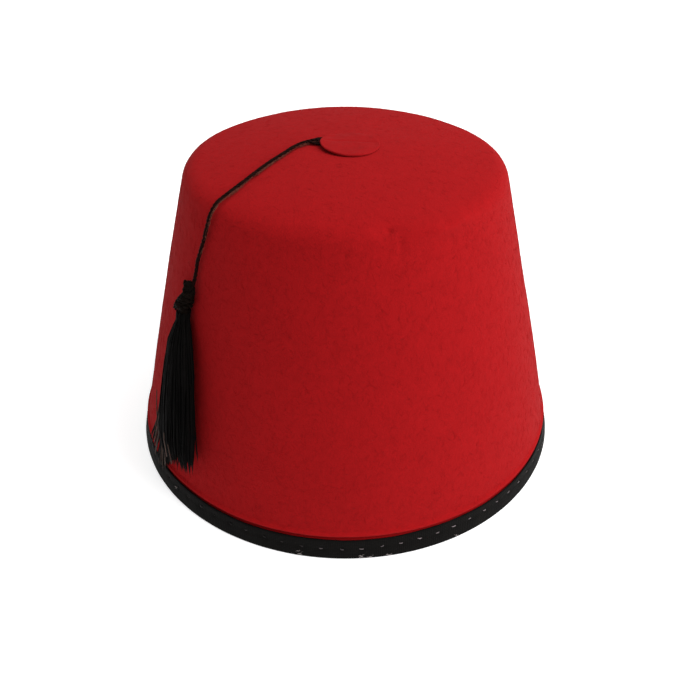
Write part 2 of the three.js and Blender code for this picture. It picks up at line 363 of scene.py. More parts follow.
def run_along(path):
    """How far along a line each of its points lies."""
    return np.concatenate([[0], np.cumsum(np.linalg.norm(np.diff(path, axis=0), axis=1))])


def circle(count):
    """Even angles round a full turn."""
    return 2 * np.pi * np.arange(count) / count


def polar(radius, angle, height):
    """Points round the hat's axis."""
    return np.stack([radius * np.cos(angle), radius * np.sin(angle), height], 1)


def turn_from(start, angle):
    """The turn from one angle to another, the short way round."""
    return np.arctan2(np.sin(angle - start), np.cos(angle - start))


def hump(value, spread):
    """1 where the value is 0, fading out on both sides."""
    return np.exp(-((value / spread) ** 2))


def tubes(paths, radii, reference, sides, shades=None):
    """Round closed tubes along many paths at once, each with a point at both ends. paths is
    (tubes, points, 3), and reference is a direction that no path runs along."""
    count, length = paths.shape[:2]
    tangent = unit(np.gradient(paths, axis=1))
    first = unit(np.cross(tangent, reference))
    second = np.cross(tangent, first)
    turn = circle(sides)[:, None]
    ring = first[:, 1:-1, None] * np.cos(turn) + second[:, 1:-1, None] * np.sin(turn)
    radii = np.broadcast_to(radii, (count, length))[:, 1:-1, None, None]
    body = (paths[:, 1:-1, None] + ring * radii).reshape(count, -1, 3)
    points = np.concatenate([paths[:, :1], body, paths[:, -1:]], 1)
    per_tube = points.shape[1]
    one = ring_faces(length - 2, sides)
    faces = [face for tube in range(count) for face in shifted(one, tube * per_tube)]
    return points.reshape(-1, 3), faces, None if shades is None else np.repeat(shades, per_tube)


def smooth_path(route, step):
    """A Catmull-Rom curve through the route's points, at about even steps."""
    knots = np.asarray(route, float)
    p = np.concatenate([[2 * knots[0] - knots[1]], knots, [2 * knots[-1] - knots[-2]]])
    t = np.linspace(0, 1, 24, endpoint=False)[:, None]
    pieces = []
    for a, b, c, d in zip(p[:-3], p[1:-2], p[2:-1], p[3:]):
        cubic = -a + 3 * b - 3 * c + d
        square = 2 * a - 5 * b + 4 * c - d
        pieces.append(0.5 * (2 * b + (c - a) * t + square * t**2 + cubic * t**3))
    dense = np.concatenate([*pieces, knots[-1:]])
    run = run_along(dense)
    even = np.linspace(0, run[-1], max(int(run[-1] / step), 4) + 1)
    return np.stack([np.interp(even, run, dense[:, axis]) for axis in range(3)], 1)


def carried_frames(path):
    """Two directions square to a path, carried along it without turning round it."""
    tangent = unit(np.gradient(path, axis=0))
    normal = unit(np.cross(tangent[0], (0.3, 0.8, 0.5)))
    first = []
    for direction in tangent:
        normal = unit(normal - direction * (normal @ direction))
        first.append(normal)
    first = np.array(first)
    return first, np.cross(tangent, first)


def rope(path, diameter, phase=0.0):
    """Plies wound round a path, each a tube, none quite even in its twist and thickness."""
    run = run_along(path)
    first, second = carried_frames(path)
    ply_radius = diameter / (2 + 2 / math.sin(math.pi / CORD_PLIES))
    swing = diameter / 2 - ply_radius * 0.96
    strands = []
    for ply in range(CORD_PLIES):
        turn = phase + 2 * math.pi * (run / CORD_TWIST + ply / CORD_PLIES)
        turn = turn + 0.35 * np.sin(run / 0.0031 + 2.1 * ply)
        offset = first * np.cos(turn)[:, None] + second * np.sin(turn)[:, None]
        strands.append(path + swing * offset)
    strands = np.array(strands)
    radii = np.full(strands.shape[:2], ply_radius) * (1 + 0.07 * np.sin(run / 0.0017))
    return tubes(strands, radii, second, 8, np.linspace(0.35, 0.65, CORD_PLIES))


# ------------ the hat's surface


def wall_radius(height):
    part = height / WALL_HEIGHT
    return WALL_RADIUS - WALL_TAPER * height + 4 * WALL_BULGE * part * (1 - part)


def top_height(radius):
    return APEX_HEIGHT - radius * radius / (2 * DOME_RADIUS)


def outline():
    """Radius, height, outward direction, run and depth sunk at stations from rim to apex."""
    tape_top = TAPE_HEIGHT + GAP
    near_tape = np.linspace(tape_top - 0.0004, tape_top + 0.0044, NEAR_TAPE_ROWS)
    above = np.linspace(tape_top + 0.005, WALL_HEIGHT, WALL_ROWS)
    heights = np.concatenate([[TAPE + GAP, tape_top * 0.5], near_tape, above])
    radii = wall_radius(heights)
    t = np.linspace(0, 1, EDGE_ROWS + 1)[1:]
    corner = wall_radius(EDGE_HEIGHT), EDGE_HEIGHT
    landing = TOP_START_RADIUS, top_height(TOP_START_RADIUS)
    bend = [
        (1 - t) ** 2 * start + 2 * t * (1 - t) * middle + t**2 * end
        for start, middle, end in zip((radii[-1], heights[-1]), corner, landing)
    ]
    top = np.linspace(TOP_START_RADIUS, 0, TOP_ROWS + 1)[1:]
    radius = np.concatenate([radii, bend[0], top])
    height = np.concatenate([heights, bend[1], top_height(top)])
    outward = unit(np.stack([np.gradient(height), -np.gradient(radius)], 1))
    outward[0] = 1, 0
    outward[-1] = 0, 1
    run = np.concatenate([[0], np.cumsum(np.hypot(np.diff(radius), np.diff(height)))])
    fade = np.clip((height - tape_top) / PINCH_FADE, 0, 1)
    sunk = PINCH * (1 - fade * fade * (3 - 2 * fade))
    sunk -= SWELL * hump(height - tape_top - SWELL_RISE, SWELL_SPREAD)
    sunk += GROOVE * hump(height - tape_top, GROOVE_SPREAD)
    return radius, height, outward, run, sunk


RADIUS, HEIGHT, OUTWARD, RUN, SUNK = outline()


def lumps_at(points, sizes):
    """How far the felt's unevenness lifts it at each point."""
    lift = np.zeros(len(points))
    for layer, (size, amount) in enumerate(sizes):
        shift = Vector((7.3, 1.9, 4.1)) * (layer + 1)
        lift += [amount * noise.noise(Vector(p) / size + shift) for p in points]
    return lift


def felt_surface(angle, run, lift=0.0, lumps=LUMPS):
    """Points on the outer face at angles round the hat and runs up its outline, and the
    directions out of it."""
    radius, height, sunk = (np.interp(run, RUN, column) for column in (RADIUS, HEIGHT, SUNK))
    outward = unit(np.stack([np.interp(run, RUN, OUTWARD[:, axis]) for axis in (0, 1)], 1))
    for azimuth, dent_run, depth, across, along in DENTS:
        sideways = turn_from(math.radians(azimuth), angle) * radius
        fade = np.exp(-((sideways / across) ** 2) - ((run - dent_run) / along) ** 2)
        sunk = sunk + depth * fade * np.clip(radius / 0.01, 0, 1)
    plain = polar(radius, angle, height)
    sunk = sunk - lumps_at(plain, lumps) - lift
    normal = polar(outward[:, 0], angle, outward[:, 1])
    return plain - normal * sunk[:, None], normal


def make_crown(material):
    """The felt body, hollow, from the middle of its inner face round the rim to the apex."""
    angle = circle(CROWN_SEGMENTS)
    outer = [felt_surface(angle, np.full(CROWN_SEGMENTS, run)) for run in RUN[:-1]]
    apex, up = felt_surface(np.zeros(1), RUN[-1:])
    thickness = FELT - np.clip(SUNK, 0, PINCH)
    kept = list(zip(outer, thickness))[::-1][::INNER_STEP]
    inner = [points - normal * thick for (points, normal), thick in kept]
    inner.append(outer[0][0] - outer[0][1] * thickness[0])
    rows = [apex - up * FELT, *inner, *(points for points, normal in outer), apex]
    make_piece("felt_crown", revolved(rows), material, replaces="crown")


# ------------ nap


def nap_paths(seed, angle, run, lift):
    """Curled fibres lying on the felt, four points each, with the normals there."""
    rng = np.random.default_rng(seed)
    heading = rng.uniform(0, 2 * np.pi, NAP_COUNT)
    curl = rng.normal(0, 0.55, NAP_COUNT)
    step = rng.uniform(0.5, 1.0, NAP_COUNT) * NAP_LENGTH / 3
    places = []
    for rise in (0.1, 1.0, 0.9, 0.2):
        radius = np.maximum(np.interp(run, RUN, RADIUS), 0.004)
        places.append(felt_surface(angle, run, lift * rise))
        angle = angle + step * np.cos(heading) / radius
        run = np.clip(run + step * np.sin(heading), RUN[3], RUN[-1] - 0.0005)
        heading = heading + curl
    return [np.stack(part, 1) for part in zip(*places)]


def make_nap():
    """Loose fibres of the felt's surface, shade by shade."""
    rng = np.random.default_rng(11)
    places = np.linspace(0.01, RUN[-1] - 0.001, 200)
    weights = np.interp(places, RUN, RADIUS) * np.where(places > NAP_THINS_AT, NAP_THINNED, 1)
    runs = rng.choice(places, NAP_COUNT, p=weights / weights.sum())
    runs = runs + rng.uniform(-0.0006, 0.0006, NAP_COUNT)
    angles = rng.uniform(-np.pi, np.pi, NAP_COUNT)
    lifts = rng.uniform(-NAP_LIFT, NAP_LIFT, NAP_COUNT)
    paths, normals = nap_paths(12, angles, runs, lifts)
    share = NAP_COUNT // len(NAP_SHADES)
    for index, (shade, colour) in enumerate(NAP_SHADES.items()):
        chosen = slice(index * share, (index + 1) * share)
        radii = rng.uniform(*NAP_RADII, (share, 1))
        form = tubes(paths[chosen], radii, normals[chosen], 3)
        look = {"Base Color": colour, **RED_SHEEN}
        material = start_material(f"nap_{shade}", 0.9, RED_SPECULAR, look)[0]
        make_piece(f"nap_{shade}", form, material)


# ------------ disc


def top_point(x, y, lift):
    """Points over the top of the crown, at a lift above its felt."""
    run = np.interp(-np.hypot(x, y), -RADIUS[-TOP_ROWS:], RUN[-TOP_ROWS:])
    return felt_surface(np.arctan2(y, x), run, lift, LUMPS[:2])[0]


def disc_wrinkles(across, turn):
    """Faint creases of the disc, in its own polar coordinates."""
    fold = 0.0002 * np.sin(3 * turn + 5.5 * across + 0.6) * across
    pleat = 0.0001 * np.sin(7 * turn - 9 * across) * across**2
    crease = -0.0003 * hump(across * np.sin(turn) - 0.12, 0.07)
    return fold + pleat + crease * (1 - across**4)


def disc_lift(across, turn):
    """The disc's left edge stands up where the cord's end runs in under it."""
    facing = np.cos(turn - DISC_LIFT_ANGLE)
    near = np.clip((facing - 0.35) / 0.65, 0, 1)
    curl = 0.00018 * np.sin(2 * turn + 1.1) * across**3
    return DISC_LIFT * near**1.5 * across**3 + curl + 0.00018


def disc_outline():
    """Share of the radius, and level between the faces, from below round the cut edge."""
    under = [(share, 0.0) for share in np.linspace(0, 0.96, 12)]
    edge = [(1 - 0.04 * (1 - math.sin(a)), 0.5 + 0.5 * math.sin(a - math.pi / 2))
            for a in np.linspace(0.25, math.pi - 0.25, 9)]
    return [*under, *edge, *((share, 1.0) for share in np.linspace(0.955, 0, 30))]


def make_disc(material):
    turn = circle(DISC_SEGMENTS)
    places = [Vector((1.6 * math.cos(a), 1.6 * math.sin(a), 3)) for a in turn]
    edge = DISC_RADIUS * (1 + 0.018 * np.array([noise.noise(place) for place in places]))
    rows = []
    for across, level in disc_outline():
        x = DISC_CENTRE[0] + edge * across * np.cos(turn)
        y = DISC_CENTRE[1] + edge * across * np.sin(turn)
        thickness = DISC_THICKNESS * (0.76 + 0.24 * np.cos(turn - DISC_LIFT_ANGLE) * across)
        lift = disc_lift(across, turn) + level * (thickness + disc_wrinkles(across, turn))
        row = top_point(x, y, lift)
        row[:, 2] += level * lumps_at(row * (1, 1, 1 + level), DISC_LUMPS)
        rows.append(row[:1] if across == 0 else row)
    make_piece("felt_disc", revolved(rows), material, replaces="top_disc")


# ------------ tape


def tape_section():
    """The folded tape's section: offset from the wall's outer face, and height."""
    inner = -FELT / math.cos(math.atan(WALL_TAPER)) + PINCH - GAP
    back = inner - TAPE
    return [
        *arc_points(TAPE - 0.0005, TAPE_HEIGHT - 0.0005, 0.0005, 90, 0, 5),
        *((TAPE, height) for height in np.linspace(TAPE_HEIGHT - 0.0009, 0.0012, 12)),
        *arc_points(TAPE - FOLD, FOLD, FOLD, 0, -90, 6),
        *((offset, 0.0) for offset in np.linspace(TAPE - 0.0012, back + 0.0012, 5)),
        *arc_points(back + FOLD, FOLD, FOLD, -90, -180, 6),
        *((back, height) for height in np.linspace(0.0012, TAPE_HEIGHT - 0.0009, 8)),
        *arc_points(back + 0.0004, TAPE_HEIGHT - 0.0004, 0.0004, 180, 90, 4),
        (inner, TAPE_HEIGHT - 0.0002),
        (inner, TAPE),
        (PINCH - GAP, TAPE),
    ]


def arc_points(x, z, radius, start, end, count):
    turns = np.radians(np.linspace(start, end, count))
    return [(x + radius * math.cos(a), z + radius * math.sin(a)) for a in turns]


def edge_wave(angle):
    """How much higher or lower than its mean the tape's edge runs."""
    slow = np.sin(5 * angle + 0.8) * 0.00014 + np.sin(11 * angle + 2.0) * 0.0001
    return slow + np.sin(29 * angle) * 0.00005


def stitch_angles():
    rng = np.random.default_rng(5)
    even = 2 * np.pi * (np.arange(STITCHES) + 0.5) / STITCHES + STITCH_PHASE
    return even + rng.normal(0, STITCH_JITTER, STITCHES)


def seam_height(angle):
    return STITCH_HEIGHT - SEAM_DIP * hump(turn_from(SEAM_DIP_ANGLE, angle), SEAM_DIP_SPREAD)


def pucker(angle, height):
    """How deep the thread draws the tape in, at its stitches and between them."""
    depth = np.zeros_like(angle)
    above = height - seam_height(angle)
    for place in stitch_angles():
        along = turn_from(place, angle) * WALL_RADIUS
        depth += np.exp(-((along / 0.0013) ** 2) - (above / 0.0011) ** 2)
    return PUCKER * (np.clip(depth, 0, 1.1) + 0.35 * hump(above, 0.0008))


def lap_layer(angle):
    """1 where the tape's end overlaps its start, at the back of the hat."""
    along = turn_from(LAP_ANGLE, angle) * WALL_RADIUS
    rise = 1 / (1 + np.exp(-(along + LAP_LENGTH / 2) / 0.00016))
    return rise / (1 + np.exp((along - LAP_LENGTH / 2) / 0.0011))


def make_tape(material):
    angle = circle(TAPE_SEGMENTS)
    middle = -FELT / 2
    wave = edge_wave(angle)
    lap = lap_layer(angle) * LAP_RISE
    section = tape_section()
    ring = []
    for offset, height in section:
        share = height / TAPE_HEIGHT
        level = height + wave * share**2 * (1 if offset > middle else 0.4)
        outer = offset > PINCH
        push = lap if outer else -lap if offset < middle * 2 else 0
        ripple = 0.00006 * np.sin(38 * angle + 3 * share) if outer else 0
        depth = pucker(angle, level) if outer and height > TAPE else 0
        radius = wall_radius(level) + offset + push + (ripple - depth) * min(share * 4, 1)
        ring.append(polar(radius, angle, level))
    row, step = np.meshgrid(np.arange(len(ring)), np.arange(TAPE_SEGMENTS), indexing="ij")
    corners = [(row, step), (row + 1, step), (row + 1, step + 1), (row, step + 1)]
    faces = [(a % len(ring)) * TAPE_SEGMENTS + b % TAPE_SEGMENTS for a, b in corners]
    faces = np.stack(faces, -1).reshape(-1, 4).tolist()
    across = run_along([*section, section[0]])
    along = 2 * np.pi * WALL_RADIUS / TAPE_SEGMENTS
    uv = np.stack([np.stack([b * along, across[a]], -1) for a, b in corners], -2)
    form = np.concatenate(ring), faces, None
    make_piece("bound_rim", form, material, uv=uv, replaces="rim_binding")


def make_stitches(material):
    """The seam's thread where it shows, a short bar in each pucker, its ends sunk in."""
    rng = np.random.default_rng(21)
    along = np.array([-0.62, -0.5, -0.25, 0, 0.25, 0.5, 0.62])
    bow = np.array([-0.00034, -0.0002, 0, 0.00003, 0, -0.0002, -0.00034])
    paths = []
    for angle in stitch_angles():
        span = STITCH_LENGTH * rng.uniform(0.75, 1.1) / WALL_RADIUS
        tilt = rng.normal(0, 0.00016)
        sink = rng.uniform(0.0001, 0.00026)
        height = seam_height(angle) + tilt * np.linspace(-1, 1, 7) + rng.normal(0, 0.0001)
        radius = wall_radius(height) + TAPE - sink + bow
        paths.append(polar(radius, angle + span * along, height))
    # Each stitch's shade is part random tone and part painted light: lightest where it faces the
    # hat's lit side, fading away from it.
    facing = np.cos(stitch_angles() - STITCH_LIT_ANGLE)
    shades = rng.uniform(0, 0.35, STITCHES) + 0.85 * np.clip(facing, 0, 1) ** 6
    form = tubes(np.array(paths), STITCH_THREAD, (0, 0, 1), 8, shades)
    make_piece("rim_stitches", form, material)


def make_lint(material):
    """Pale hairs and specks of lint on the tape."""
    rng = np.random.default_rng(61)
    paths = []
    for azimuth, height, count in LINT:
        for _ in range(count):
            heading = rng.normal(0, 0.5)
            along = np.linspace(-0.5, 0.5, 7) * rng.uniform(0.0007, 0.0024)
            sideways = along * math.cos(heading) + rng.normal(0, 0.0006)
            rise = height + along * math.sin(heading) + rng.normal(0, 0.0003)
            rise = np.maximum(rise + 0.0002 * np.sin(along * 4000 + rng.uniform(0, 6)), 0.0006)
            inset = FOLD - np.sqrt(FOLD**2 - np.maximum(FOLD - rise, 0) ** 2)
            radius = wall_radius(rise) + TAPE - inset + rng.uniform(0.00002, 0.0001)
            paths.append(polar(radius, math.radians(azimuth) + sideways / WALL_RADIUS, rise))
    radii = rng.uniform(0.00003, 0.00007, (len(paths), 1))
    form = tubes(np.array(paths), radii, (0.3, 0.2, 1), 5)
    make_piece("tape_lint", form, material)


# ------------ tassel


def tassel_frame():
    """The tassel's own directions (out of the felt, sideways, and up the slope), and its top."""
    slope = math.atan(WALL_TAPER)
    out = np.array([math.cos(slope), 0, math.sin(slope)])
    up = np.array([-math.sin(slope), 0, math.cos(slope)])
    side = np.array([0, 1, 0])
    c, s = math.cos(TASSEL_LEAN), math.sin(TASSEL_LEAN)
    side, up = side * c + up * s, up * c - side * s
    c, s = math.cos(TASSEL_AZIMUTH), math.sin(TASSEL_AZIMUTH)
    turn = np.array([[c, -s, 0], [s, c, 0], [0, 0, 1]])
    top = np.array([wall_radius(TASSEL_HEIGHT), 0, TASSEL_HEIGHT])
    return turn @ np.stack([out, side, up], 1), turn @ top


TASSEL_AXES, TASSEL_TOP = tassel_frame()


def on_tassel(points):
    """From the tassel's own coordinates, which follow its bow, to the hat's."""
    points = np.array(points, float)
    points[..., 1] += np.interp(-points[..., 2], *np.transpose(BOW))
    return points @ TASSEL_AXES.T + TASSEL_TOP


def clear_of_hat(points, clearance=STRAND_CLEARANCE):
    """Moves points that come too near the wall or the tape straight out to a clearance."""
    radius = np.hypot(points[..., 0], points[..., 1])
    height = points[..., 2]
    over_tape = 1 / (1 + np.exp((height - TAPE_HEIGHT - 0.0009) / 0.0005))
    least = wall_radius(height) + clearance + TAPE * over_tape + 0.0003
    grow = np.maximum(least / np.maximum(radius, 1e-6), 1)
    return points * np.stack([grow, grow, np.ones_like(grow)], -1)


def skirt_size(down):
    """The skirt's width and depth at distances down from its top."""
    station, width, depth = np.transpose(SKIRT_FORM)
    return np.interp(down, station, width), np.interp(down, station, depth)


def cord_path():
    """The cord's whole line: its route, then on through the knot and collar into the skirt."""
    inside = [on_tassel((STANDOFF + out, side, -down)) for out, side, down in CORD_INSIDE]
    return smooth_path([*CORD_ROUTE, *inside], LINE_STEP)


def make_cord(path, material):
    form = rope(path, CORD_DIAMETER)
    return make_piece("twisted_cord", form, material, replaces="tassel_cord")


def make_fuzz(path, material):
    """Short brown hairs that stand out of the cord, fewer where it hangs."""
    rng = np.random.default_rng(35)
    shown = path[: int(len(path) * 0.68)]
    first, second = carried_frames(shown)
    share = rng.uniform(0, 1, FUZZ_COUNT)
    share = np.where(share > 0.72, share * rng.uniform(0.3, 1, FUZZ_COUNT), share)
    place = (2 + share * (len(shown) - 5)).astype(int)
    turn = rng.uniform(0, 2 * np.pi, FUZZ_COUNT)[:, None]
    side = first[place] * np.cos(turn) + second[place] * np.sin(turn)
    side = unit(side + np.array(FUZZ_SIDE))
    ahead = unit(shown[place + 1] - shown[place])
    swing = rng.normal(0, 1, (FUZZ_COUNT, 1))
    reach = rng.uniform(*FUZZ_REACH, (FUZZ_COUNT, 1))
    reach = reach * (0.75 + 0.45 * np.sin(0.13 * place) * np.sin(0.031 * place + 1))[:, None]
    paths = []
    for share in np.linspace(0, 1, 5):
        stand = FUZZ_FROM_CORD * CORD_DIAMETER + reach * share * (1 - 0.3 * share)
        paths.append(shown[place] + side * stand + ahead * swing * reach * share**1.5)
    paths = np.stack(paths, 1)
    radius = np.linalg.norm(paths[..., :2], axis=-1)
    felt = np.where(radius < TOP_START_RADIUS, top_height(radius) + 0.00005, 0)
    paths[..., 2] = np.maximum(paths[..., 2], felt)
    radii = rng.uniform(0.00003, 0.00006, (FUZZ_COUNT, 1))
    form = tubes(paths, radii, (0.31, 0.83, 0.46), 4)
    return make_piece("cord_fuzz", form, material)


def make_fan(material):
    """The cord's frayed end, spread flat where it runs in under the disc."""
    rng = np.random.default_rng(31)
    x = np.linspace(FAN_START, FAN_END, 8)
    spread = np.clip((x - FAN_START) / 0.005, 0, 1) ** 1.3
    paths = []
    for share in np.linspace(-1, 1, FAN_THREADS):
        y = -0.0013 + (0.00045 + 0.0032 * spread) * share + 0.0017 * spread
        y = y + rng.normal(0, 0.0001, len(x))
        lift = 0.00045 + 0.0006 * (1 - spread) + rng.uniform(0, 0.00045) * (1 - 0.5 * spread)
        line = x[0] + (x - x[0]) * rng.uniform(0.75, 1.0)
        paths.append(top_point(line, y, np.maximum(lift, 0.00028)))
    radii = rng.uniform(0.00013, 0.00021, (FAN_THREADS, 1))
    shades = rng.uniform(0.2, 0.9, FAN_THREADS)
    form = tubes(np.array(paths), radii, (0, 0, 1), 6, shades)
    return make_piece("cord_fan", form, material)


def oval(middle, width, depth, turn, up):
    """Points round an oval, in the tassel's own coordinates."""
    return np.stack([middle + depth / 2 * np.cos(turn), width / 2 * np.sin(turn), up], 1)


def knot_turn(down, width, depth, tilt, start):
    """A loop round the knot, tilted up to one side."""
    turn = start + 2 * np.pi * 1.04 * np.linspace(0, 1, 40)
    return oval(STANDOFF + 0.003, width, depth, turn, -down + tilt * np.sin(turn))


def make_knot(material):
    """The knot: tilted turns of cord round a core, with more cord over and across them."""
    lines = [(knot_turn(*sizes, start=0.7 * index), TURN_DIAMETER, index)
             for index, sizes in enumerate(KNOT_TURNS)]
    lines += [(line, CROSSING_DIAMETER, 2 * index) for index, line in enumerate(KNOT_CROSSINGS)]
    parts = []
    for line, diameter, phase in lines:
        path = clear_of_hat(smooth_path(on_tassel(line), 0.0004), 0.0009)
        parts.append(rope(path, diameter, phase))
    parts.append(filled_form([(down, width, width * 0.8) for down, width in KNOT_CORE]))
    form = join_parts(parts)
    return make_piece("wound_knot", form, material, replaces="tassel_knot")


def filled_form(sections, sides=24):
    """A closed loft through oval sections of the tassel, behind what is wound round it."""
    turn = -circle(sides)
    rows = [oval(MIDDLE, width, depth, turn, np.full(sides, -down))
            for down, width, depth in sections]
    head, foot = ([[MIDDLE, 0, -sections[end][0]]] for end in (0, -1))
    points, faces, _ = revolved([head, *rows, foot])
    return clear_of_hat(on_tassel(points), 0.0002), faces, np.full(len(points), 0.3)


def make_collar(material):
    """Thread wound round the tassel's neck, with a second, crossing layer over it."""
    parts = []
    for tilt, start, grow in ((0.00022, 0.0, -0.0003), (-0.00035, 1.9, 0.0001)):
        turn = start + 2 * np.pi * COLLAR_TURNS * np.linspace(0, 1, COLLAR_TURNS * 36)
        share = np.linspace(0.04, 0.96, len(turn))
        depth = COLLAR_DEPTH - 2 * COLLAR_THREAD + grow
        width = COLLAR_WIDTH - 2 * COLLAR_THREAD + grow
        up = -COLLAR_TOP - COLLAR_LENGTH * share + tilt * np.sin(turn)
        path = on_tassel(oval(STANDOFF + COLLAR_DEPTH / 2, width, depth, turn, up))
        path = clear_of_hat(path, COLLAR_THREAD)[None]
        parts.append(tubes(path, COLLAR_THREAD, TASSEL_AXES[:, 2], 8, [0.5 + 300 * grow]))
    parts.append(filled_form(NECK))
    form = join_parts(parts)
    return make_piece("thread_collar", form, material, replaces="tassel_collar")


def strand_places(rng):
    """Each strand's place in the skirt's section, from -1 to 1 each way, dense at the rim."""
    turn = rng.uniform(0, 2 * np.pi, (STRANDS, 1))
    spread = np.sqrt(rng.uniform(0.18, 1, (STRANDS, 1)))
    return spread * np.cos(turn), spread * np.sin(turn)


def make_fringe(material):
    """The skirt's strands, gathered in the collar, in locks that drift apart downwards."""
    rng = np.random.default_rng(41)
    outward, sideways = strand_places(rng)
    lock = rng.integers(0, LOCKS, STRANDS)
    drift = rng.normal(0, 1, (LOCKS, 2))[lock]
    reach = SKIRT_LENGTH + rng.normal(-0.0008, 0.0016, (STRANDS, 1)) + drift[:, :1] * 0.0016
    down = np.linspace(0, 1, STRAND_STEPS) ** 0.85 * reach
    width, depth = skirt_size(down)
    fall = (down / SKIRT_LENGTH) ** 1.4
    each = STRANDS, 2, 1
    sway = rng.normal(0, 1, each)
    wobble = sway * np.sin(down[:, None] * rng.uniform(55, 130, each) + rng.uniform(0, 6, each))
    out = STANDOFF + depth / 2 * (1 + outward * 0.94)
    out += fall * (0.00025 * drift[:, 1:] + 0.00035 * wobble[:, 0])
    side = width / 2 * sideways * 0.95
    side += fall * (0.00075 * drift[:, :1] + 0.00055 * wobble[:, 1])
    hanging = clear_of_hat(on_tassel(np.stack([out, side, -SKIRT_TOP - down], -1)))
    shades = [rng.uniform(0, 1, STRANDS)]
    strays = splayed_strands(rng, STRAYS)
    shades.append(rng.uniform(0.4, 1, len(strays)))
    over = covering_strands(rng)
    shades.append(rng.uniform(0, 1, COVERING))
    paths = np.concatenate([hanging, strays, over])
    radii = rng.uniform(*STRAND_RADII, (len(paths), 1)) * np.linspace(1, 0.8, STRAND_STEPS)
    strands = tubes(paths, radii, TASSEL_AXES[:, 0], 6, np.concatenate(shades))
    form = join_parts([strands, filled_form(HEART)])
    return make_piece("fringe", form, material, replaces="tassel_skirt")


def covering_strands(rng):
    """Strands caught under the knot, which hang down over the collar into the skirt."""
    turn = (np.linspace(-1.9, 1.9, COVERING) + rng.normal(0, 0.05, COVERING))[:, None]
    start = SKIRT_TOP - COLLAR_TOP + rng.uniform(-0.0012, -0.0004, COVERING)[:, None]
    reach = rng.uniform(0.018, 0.03, COVERING)[:, None]
    share = np.linspace(0, 1, STRAND_STEPS) ** 1.3
    down = share * (reach + start) - start
    width, depth = skirt_size(np.maximum(down, 0))
    width = np.maximum(width, COLLAR_WIDTH + 0.0003)
    depth = np.maximum(depth, COLLAR_DEPTH + 0.0003)
    sink = 0.0008 * share**2
    out = STANDOFF + depth / 2 * (1 + np.cos(turn)) - sink
    side = (width / 2 - sink) * np.sin(turn) + rng.normal(0, 0.0001, (COVERING, 1))
    return clear_of_hat(on_tassel(np.stack([out, side, -SKIRT_TOP - down], -1)))


def splayed_strands(rng, strays):
    """Strays that leave the skirt low down and lie on the wall or over the tape."""
    share = np.linspace(0, 1, STRAND_STEPS)
    paths = []
    for start_side, end, end_side, count in strays:
        for _ in range(count):
            stop = end + rng.normal(0, 0.0014)
            aim = end_side + rng.normal(0, 0.0011)
            first = start_side * rng.uniform(0.3, 0.9)
            bend = share ** rng.uniform(1.5, 2.6)
            down = 0.002 + share * (stop - 0.002)
            side = first * skirt_size(down)[0] / 0.0176 * (1 - bend) + aim * bend
            stand = (1 - bend) * rng.uniform(0.001, 0.006) * np.minimum(share * 5, 1)
            out = STANDOFF + 0.0004 + stand
            paths.append(np.stack([out, side, -SKIRT_TOP - down], 1))
    return clear_of_hat(on_tassel(paths))


def make_pale_strands(material):
    """A few pale strands among the strays, and down the skirt's front a few that are
    painted highlight streaks.
    """
    rng = np.random.default_rng(47)
    paths = [splayed_strands(rng, PALE_STRAYS)]
    # Painted highlight: pale strands laid down the skirt's front, where the yarn's sheen would
    # show.
    for start, side, end in HIGHLIGHT_STREAKS_AT_FRONT:
        down = np.linspace(start, end, STRAND_STEPS)
        out = STANDOFF + skirt_size(down)[1] + 0.0003
        line = side + 0.0003 * np.sin(down * 180 + 900 * side)
        place = on_tassel(np.stack([out, line, -SKIRT_TOP - down], 1))
        paths.append(clear_of_hat(place)[None])
    paths = np.concatenate(paths)
    radii = rng.uniform(0.00017, 0.00026, (len(paths), 1)) * np.linspace(0.8, 1, STRAND_STEPS)
    shades = rng.uniform(0, 1, len(paths))
    form = tubes(paths, radii, TASSEL_AXES[:, 0], 6, shades)
    return make_piece("pale_strands", form, material)


# ------------ materials


def add_node(tree, kind, inputs=None, output=0, **settings):
    """One output of a new node, whose inputs are numbers or other nodes' outputs."""
    node = tree.nodes.new(kind)
    for key, value in settings.items():
        setattr(node, key, value)
    for key, value in (inputs or {}).items():
        if isinstance(value, bpy.types.NodeSocket):
            tree.links.new(value, node.inputs[key])
        else:
            node.inputs[key].default_value = value
    return node.outputs[output]


def maths(tree, operation, *values):
    return add_node(tree, "ShaderNodeMath", dict(enumerate(values)), operation=operation)


def start_material(name, roughness, specular, sockets=None):
    """A material with one Principled node, whose plain values are set on its own sockets."""
    material = bpy.data.materials.new(name)
    material.use_nodes = True
    shader = material.node_tree.nodes["Principled BSDF"]
    plain = {"Roughness": roughness, "Specular IOR Level": specular, **(sockets or {})}
    for key, value in plain.items():
        shader.inputs[key].default_value = value
    return material, material.node_tree, shader


def hair_material(name, colour):
    """Fine hairs of one colour."""
    return start_material(name, 0.8, 0.1, {"Base Color": colour})[0]


def own_place(tree):
    return add_node(tree, "ShaderNodeTexCoord", output="Object")


def own_shade(tree):
    """The shade that a strand's points carry."""
    return add_node(tree, "ShaderNodeAttribute", output="Fac", attribute_name="shade")


def noise_at(tree, vector, size, detail=2.0, roughness=0.55, output=0):
    """Noise whose features are about size metres across."""
    inputs = {"Vector": vector, "Scale": 1 / size, "Detail": detail, "Roughness": roughness}
    return add_node(tree, "ShaderNodeTexNoise", inputs, output)


def warped(tree, vector, size, amount):
    """Coordinates pushed about by noise."""
    push = noise_at(tree, vector, size, 1.0, output="Color")
    inputs = {0: push, 1: (0.5, 0.5, 0.5)}
    centred = add_node(tree, "ShaderNodeVectorMath", inputs, operation="SUBTRACT")
    inputs = {0: centred, 1: (amount,) * 3, 2: vector}
    return add_node(tree, "ShaderNodeVectorMath", inputs, operation="MULTIPLY_ADD")


def stretched(tree, vector, stretch, turn=(0.0, 0.0, 0.0)):
    inputs = {"Vector": vector, "Scale": stretch, "Rotation": turn}
    return add_node(tree, "ShaderNodeMapping", inputs)


